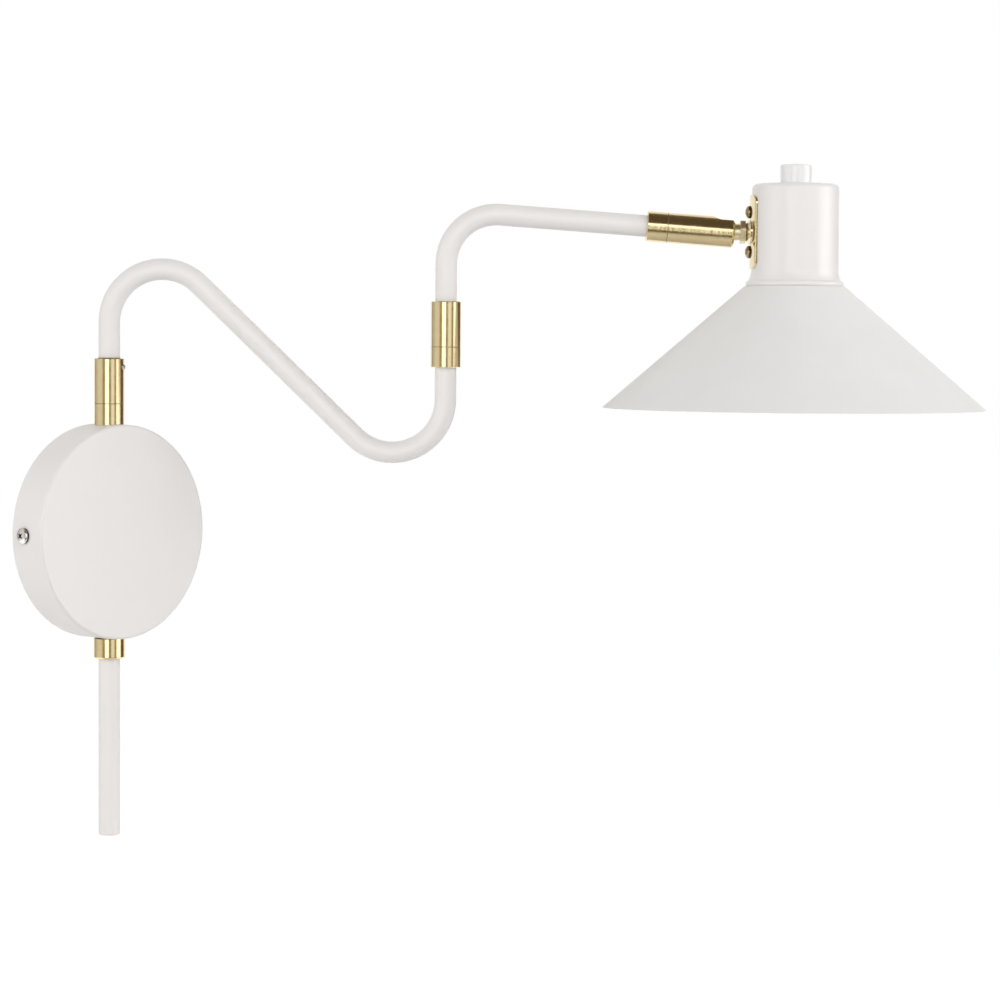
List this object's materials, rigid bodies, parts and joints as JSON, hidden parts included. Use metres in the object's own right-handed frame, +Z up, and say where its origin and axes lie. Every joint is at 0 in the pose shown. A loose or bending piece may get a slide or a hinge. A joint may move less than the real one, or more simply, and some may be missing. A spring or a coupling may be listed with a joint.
{
  "type": "swing arm wall sconce",
  "caption": "Wall lamp with a round canopy, bent tube arms on brass swivel collars, a tilting cone shade with a rotary knob, and a straight cord cover below.",
  "frame": {"origin": "centre of the wall bracket's screw pattern on the wall, at the middle of the canopy's back", "axes": "+Y into the wall, +Z up, +X to the right for a viewer facing the wall"},
  "size_m": [0.4449, 0.4302, 0.4005],
  "materials": {
    "white_paint": "satin powder coat",
    "neck_paint": "semi-gloss enamel",
    "shade_paint": "matt powder coat",
    "satin_brass": "brushed satin, lacquered",
    "polished_brass": "polished",
    "dark_brass": "polished, darker alloy",
    "zinc_steel": "zinc plated",
    "black_steel": "black oxide",
    "green_steel": "green dyed zinc",
    "nylon": "natural nylon",
    "dark_nylon": "filled nylon",
    "block_plastic": "moulded",
    "contact_brass": "bright",
    "socket_plastic": "moulded phenolic",
    "knob_plastic": "glossy"
  },
  "bodies": {
    "wall_base": {"canopy_pan": "white_paint", "wall_bracket": "zinc_steel", "canopy_screws": "zinc_steel", "ground_screw": "green_steel", "terminal_block": "block_plastic", "terminal_screws": "contact_brass", "terminal_block_screw": "zinc_steel", "upper_nipple": "zinc_steel", "lower_nipple": "zinc_steel", "nipple_washers": "zinc_steel", "nipple_nuts": "zinc_steel", "cord_grip": "nylon", "cord_grip_screw": "zinc_steel", "lower_collar": "satin_brass", "lower_collar_screw": "black_steel", "cord_cover_tube": "white_paint", "tube_bushing": "nylon", "upper_collar_base": "satin_brass", "upper_washer": "dark_nylon"},
    "arm_1": {"upper_collar_sleeve": "satin_brass", "upper_pivot_screw": "black_steel", "upper_set_screw": "zinc_steel", "arm_tube_1": "white_paint", "middle_collar_base": "satin_brass", "middle_washer": "dark_nylon"},
    "arm_2": {"middle_collar_sleeve": "satin_brass", "middle_pivot_screw": "black_steel", "middle_set_screw": "black_steel", "arm_tube_2": "white_paint", "end_collar_base": "satin_brass", "end_washer": "dark_nylon"},
    "swivel": {"end_sleeve": "satin_brass", "end_pivot_screw": "black_steel", "ball_seat": "nylon", "seat_springs": "zinc_steel"},
    "stem": {"ball_stem": "polished_brass", "ring_nut": "polished_brass", "stem_washer": "dark_nylon", "stem_inner_nut": "zinc_steel"},
    "head": {"mounting_plate": "polished_brass", "plate_screws": "dark_brass", "plate_nuts": "zinc_steel", "neck_cap": "neck_paint", "shade_cone": "shade_paint", "shade_nut": "zinc_steel", "lamp_socket": "socket_plastic", "screw_shell": "contact_brass", "centre_contact": "contact_brass", "socket_strap": "zinc_steel", "socket_nipple": "zinc_steel", "socket_nut": "zinc_steel", "switch_body": "socket_plastic", "switch_nut": "zinc_steel"},
    "knob": {"knob": "knob_plastic", "switch_shaft": "zinc_steel"}
  },
  "joints": [
    {"name": "arm_1_swing", "type": "hinge", "parent": "wall_base", "child": "arm_1", "pos_m": [0, -0.012, 0.0756], "axis": [0, 0, 1], "range_deg": [-128, 48]},
    {"name": "arm_2_swing", "type": "hinge", "parent": "arm_1", "child": "arm_2", "pos_m": [0.12804, -0.1646, 0.1105], "axis": [0, 0, 1], "range_deg": [-137, 133]},
    {"name": "sleeve_twist", "type": "hinge", "parent": "arm_2", "child": "swivel", "pos_m": [0.20693, -0.25221, 0.18257], "axis": [0.6675, -0.7413, -0.0698], "range_deg": [-90, 90]},
    {"name": "head_tilt", "type": "hinge", "parent": "swivel", "child": "stem", "pos_m": [0.23631, -0.28484, 0.1795], "axis": [-0.7431, -0.6691, 0], "range_deg": [-8.5, 84]},
    {"name": "head_turn", "type": "hinge", "parent": "stem", "child": "head", "pos_m": [0.23631, -0.28484, 0.1795], "axis": [0.6691, -0.7431, 0], "range_deg": [-90, 90]},
    {"name": "knob_turn", "type": "hinge", "parent": "head", "child": "knob", "pos_m": [0.26562, -0.31739, 0.2085], "axis": [0, 0, -1], "range_deg": [0, 300]}
  ]
}
